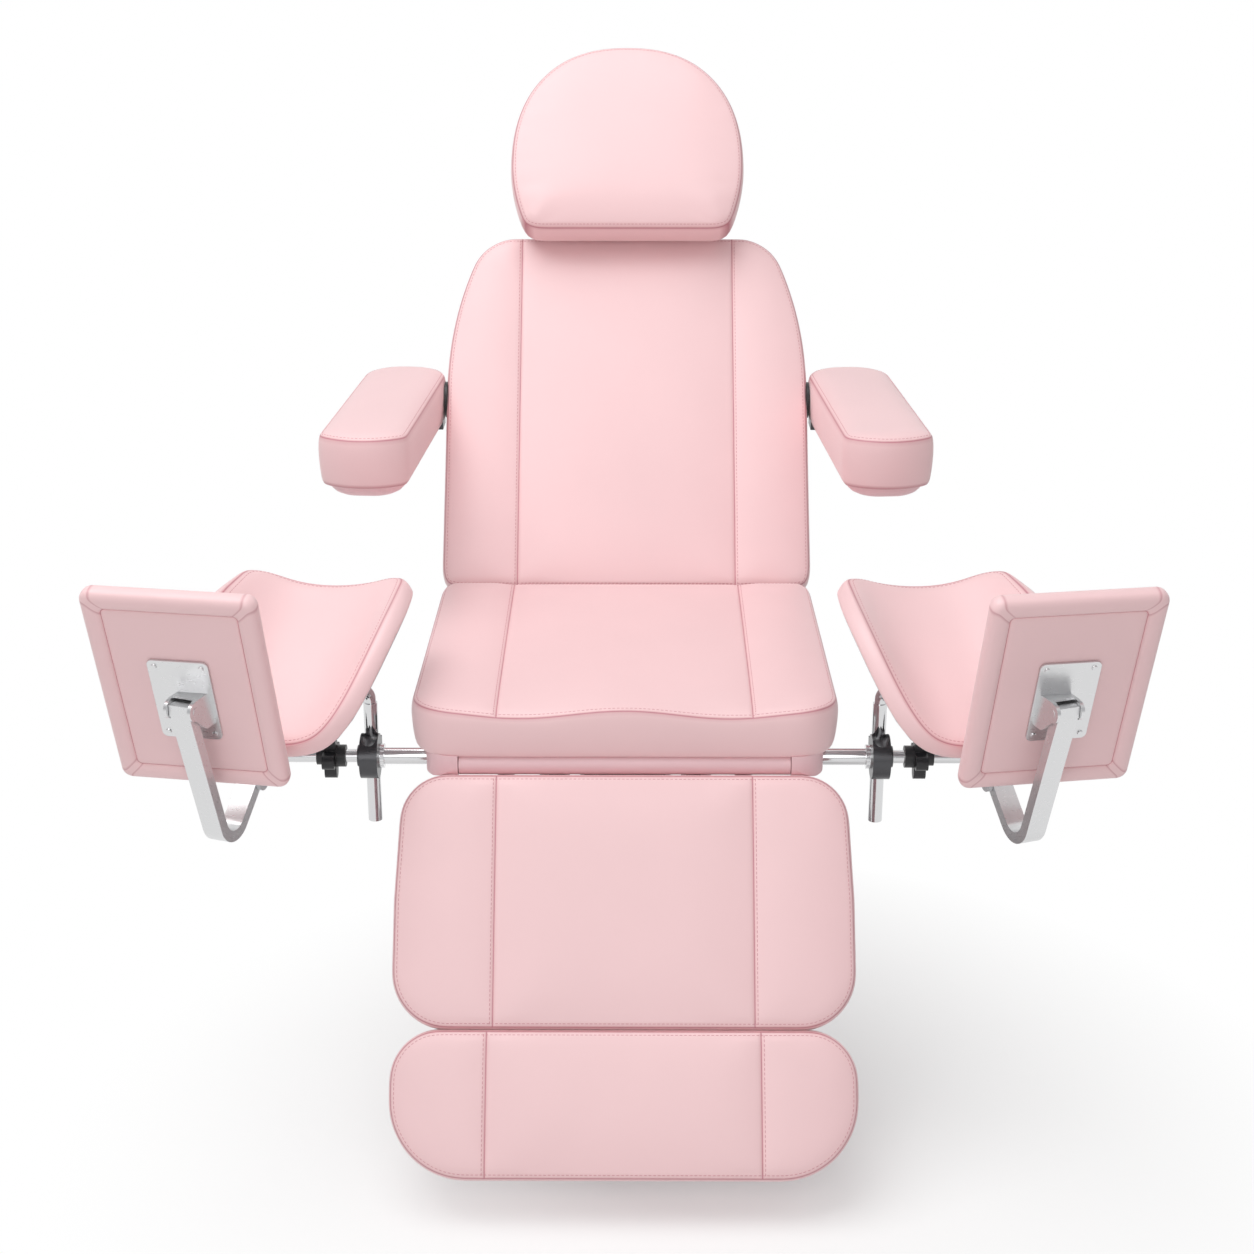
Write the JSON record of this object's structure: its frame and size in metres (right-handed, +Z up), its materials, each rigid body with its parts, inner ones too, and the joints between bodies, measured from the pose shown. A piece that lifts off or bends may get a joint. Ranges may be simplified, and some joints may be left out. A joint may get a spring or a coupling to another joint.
{
  "type": "electric treatment chair",
  "caption": "Padded electric treatment chair on a lifting column, with reclining back, headrest, armrests, swinging legrest and adjustable leg supports with foot boards.",
  "frame": {"origin": "centre of the whole chair's box, on the floor", "axes": "+Z up; -Y is the front, where the footrest points; +X is to the right as seen from the front"},
  "size_m": [1.4178, 1.3483, 1.4529],
  "materials": {
    "upholstery": "satin",
    "pink_shell": "satin",
    "grey_shell": "satin",
    "steel": "satin",
    "chrome": "polished",
    "white_paint": "satin",
    "black_plastic": "matte",
    "rubber": "matte"
  },
  "bodies": {
    "base": {"base_frame": "white_paint", "base_cover": "white_paint", "levelling_feet": "rubber", "column_outer": "white_paint", "lift_motor": "black_plastic", "mains_inlet": "black_plastic"},
    "column_stage": {"column_middle": "white_paint"},
    "seat": {"column_inner": "white_paint", "seat_frame": "steel", "seat_pan": "pink_shell", "seat_cushion": "upholstery", "front_roll": "pink_shell", "control_box": "black_plastic", "recline_shaft": "chrome", "leg_shaft": "chrome", "rod_sockets": "steel"},
    "back": {"back_frame": "steel", "back_cushion": "upholstery", "back_tray": "pink_shell", "head_guides": "steel", "arm_bracket_left": "black_plastic", "arm_bracket_right": "black_plastic"},
    "head_carrier": {"head_rods": "chrome"},
    "headrest": {"head_board": "steel", "head_cushion": "upholstery"},
    "leg": {"leg_frame": "steel", "leg_cushion": "upholstery", "leg_tray": "pink_shell"},
    "foot": {"foot_rails": "steel", "foot_cushion": "upholstery", "foot_tray": "pink_shell"},
    "back_actuator": {"back_actuator": "black_plastic"},
    "back_actuator_rod": {"back_actuator_rod": "chrome"},
    "leg_actuator": {"leg_actuator": "black_plastic"},
    "leg_actuator_rod": {"leg_actuator_rod": "chrome"},
    "armrest_left": {"arm_cushion_left": "upholstery", "arm_shell_left": "pink_shell", "arm_core_left": "steel"},
    "rod_left": {"support_rod_left": "steel"},
    "clamp_left": {"post_clamp_left": "black_plastic"},
    "knob_left": {"star_knob_left": "black_plastic"},
    "post_left": {"post_left": "steel"},
    "saddle_left": {"knee_shell_left": "grey_shell", "knee_cushion_left": "upholstery"},
    "bar_left": {"foot_bar_left": "steel"},
    "board_left": {"board_bracket_left": "steel", "foot_board_left": "upholstery"},
    "armrest_right": {"arm_cushion_right": "upholstery", "arm_shell_right": "pink_shell", "arm_core_right": "steel"},
    "rod_right": {"support_rod_right": "steel"},
    "clamp_right": {"post_clamp_right": "black_plastic"},
    "knob_right": {"star_knob_right": "black_plastic"},
    "post_right": {"post_right": "steel"},
    "saddle_right": {"knee_shell_right": "grey_shell", "knee_cushion_right": "upholstery"},
    "bar_right": {"foot_bar_right": "steel"},
    "board_right": {"board_bracket_right": "steel", "foot_board_right": "upholstery"}
  },
  "joints": [
    {"name": "lift", "type": "slide", "parent": "base", "child": "seat", "axis": [0, 0, 1], "range_m": [0, 0.25]},
    {"name": "lift_stage", "type": "slide", "parent": "base", "child": "column_stage", "axis": [0, 0, 1], "range_m": [0, 0.125]},
    {"name": "back_recline", "type": "hinge", "parent": "seat", "child": "back", "pos_m": [0, 0.15867, 0.6], "axis": [-1, 0, 0], "range_deg": [0, 55]},
    {"name": "back_actuator_swing", "type": "hinge", "parent": "seat", "child": "back_actuator", "pos_m": [0.11, -0.11133, 0.4], "axis": [-1, 0, 0], "range_deg": [0, 11.2]},
    {"name": "back_actuator_travel", "type": "slide", "parent": "back_actuator", "child": "back_actuator_rod", "axis": [0, 0.9, 0.436], "range_m": [-0.0866, 0]},
    {"name": "legrest_lift", "type": "hinge", "parent": "seat", "child": "leg", "pos_m": [0, -0.32133, 0.545], "axis": [-1, 0, 0], "range_deg": [0, 57]},
    {"name": "leg_actuator_swing", "type": "hinge", "parent": "seat", "child": "leg_actuator", "pos_m": [-0.11, -0.03133, 0.44], "axis": [-1, 0, 0], "range_deg": [0, 3.4]},
    {"name": "leg_actuator_travel", "type": "slide", "parent": "leg_actuator", "child": "leg_actuator_rod", "axis": [0, -0.9988, 0.0489], "range_m": [0, 0.0882]},
    {"name": "footrest_slide", "type": "slide", "parent": "leg", "child": "foot", "axis": [0, -0.5446, -0.8387], "range_m": [0, 0.04]},
    {"name": "headrest_slide", "type": "slide", "parent": "back", "child": "head_carrier", "axis": [0, 0.5736, 0.8192], "range_m": [0, 0.09]},
    {"name": "headrest_tilt", "type": "hinge", "parent": "head_carrier", "child": "headrest", "pos_m": [0, 0.55328, 1.19353], "axis": [-1, 0, 0], "range_deg": [0, 35]},
    {"name": "armrest_left_swing", "type": "hinge", "parent": "back", "child": "armrest_left", "pos_m": [-0.33, 0.36367, 0.895], "axis": [-1, 0, 0], "range_deg": [0, 80]},
    {"name": "rod_left_slide", "type": "slide", "parent": "seat", "child": "rod_left", "axis": [-1, 0, 0], "range_m": [0, 0.08]},
    {"name": "clamp_left_swing", "type": "hinge", "parent": "rod_left", "child": "clamp_left", "pos_m": [-0.378, -0.23133, 0.504], "axis": [1, 0, 0], "range_deg": [-20, 20]},
    {"name": "knob_left_turn", "type": "hinge", "parent": "rod_left", "child": "knob_left", "pos_m": [-0.437, -0.23133, 0.504], "axis": [-1, 0, 0], "continuous": true},
    {"name": "post_left_height", "type": "slide", "parent": "clamp_left", "child": "post_left", "axis": [0, 0, 1], "range_m": [-0.04, 0.05]},
    {"name": "saddle_left_turn", "type": "hinge", "parent": "post_left", "child": "saddle_left", "pos_m": [-0.452, -0.28333, 0.63], "axis": [0, 0, 1], "range_deg": [-20, 20]},
    {"name": "foot_bar_left_swing", "type": "hinge", "parent": "saddle_left", "child": "bar_left", "pos_m": [-0.52575, -0.39227, 0.53924], "axis": [0.9397, -0.342, 0], "range_deg": [0, 40]},
    {"name": "foot_board_left_tilt", "type": "hinge", "parent": "bar_left", "child": "board_left", "pos_m": [-0.58, -0.54133, 0.707], "axis": [0.9397, -0.342, 0], "range_deg": [-6, 8]},
    {"name": "armrest_right_swing", "type": "hinge", "parent": "back", "child": "armrest_right", "pos_m": [0.33, 0.36367, 0.895], "axis": [-1, 0, 0], "range_deg": [0, 80]},
    {"name": "rod_right_slide", "type": "slide", "parent": "seat", "child": "rod_right", "axis": [1, 0, 0], "range_m": [0, 0.08]},
    {"name": "clamp_right_swing", "type": "hinge", "parent": "rod_right", "child": "clamp_right", "pos_m": [0.378, -0.23133, 0.504], "axis": [1, 0, 0], "range_deg": [-20, 20]},
    {"name": "knob_right_turn", "type": "hinge", "parent": "rod_right", "child": "knob_right", "pos_m": [0.437, -0.23133, 0.504], "axis": [1, 0, 0], "continuous": true},
    {"name": "post_right_height", "type": "slide", "parent": "clamp_right", "child": "post_right", "axis": [0, 0, 1], "range_m": [-0.04, 0.05]},
    {"name": "saddle_right_turn", "type": "hinge", "parent": "post_right", "child": "saddle_right", "pos_m": [0.452, -0.28333, 0.63], "axis": [0, 0, 1], "range_deg": [-20, 20]},
    {"name": "foot_bar_right_swing", "type": "hinge", "parent": "saddle_right", "child": "bar_right", "pos_m": [0.52575, -0.39227, 0.53924], "axis": [0.9397, 0.342, 0], "range_deg": [0, 40]},
    {"name": "foot_board_right_tilt", "type": "hinge", "parent": "bar_right", "child": "board_right", "pos_m": [0.58, -0.54133, 0.707], "axis": [0.9397, 0.342, 0], "range_deg": [-6, 8]}
  ],
  "couplings": [
    {"joint": "lift_stage", "follows": "lift", "ratio": 0.5},
    {"joint": "back_actuator_swing", "follows": "back_recline", "ratio": 0.2023},
    {"joint": "back_actuator_travel", "follows": "back_recline", "m_per_rad": -0.09006},
    {"joint": "leg_actuator_swing", "follows": "legrest_lift", "ratio": 0.0593},
    {"joint": "leg_actuator_travel", "follows": "legrest_lift", "m_per_rad": 0.08851}
  ]
}
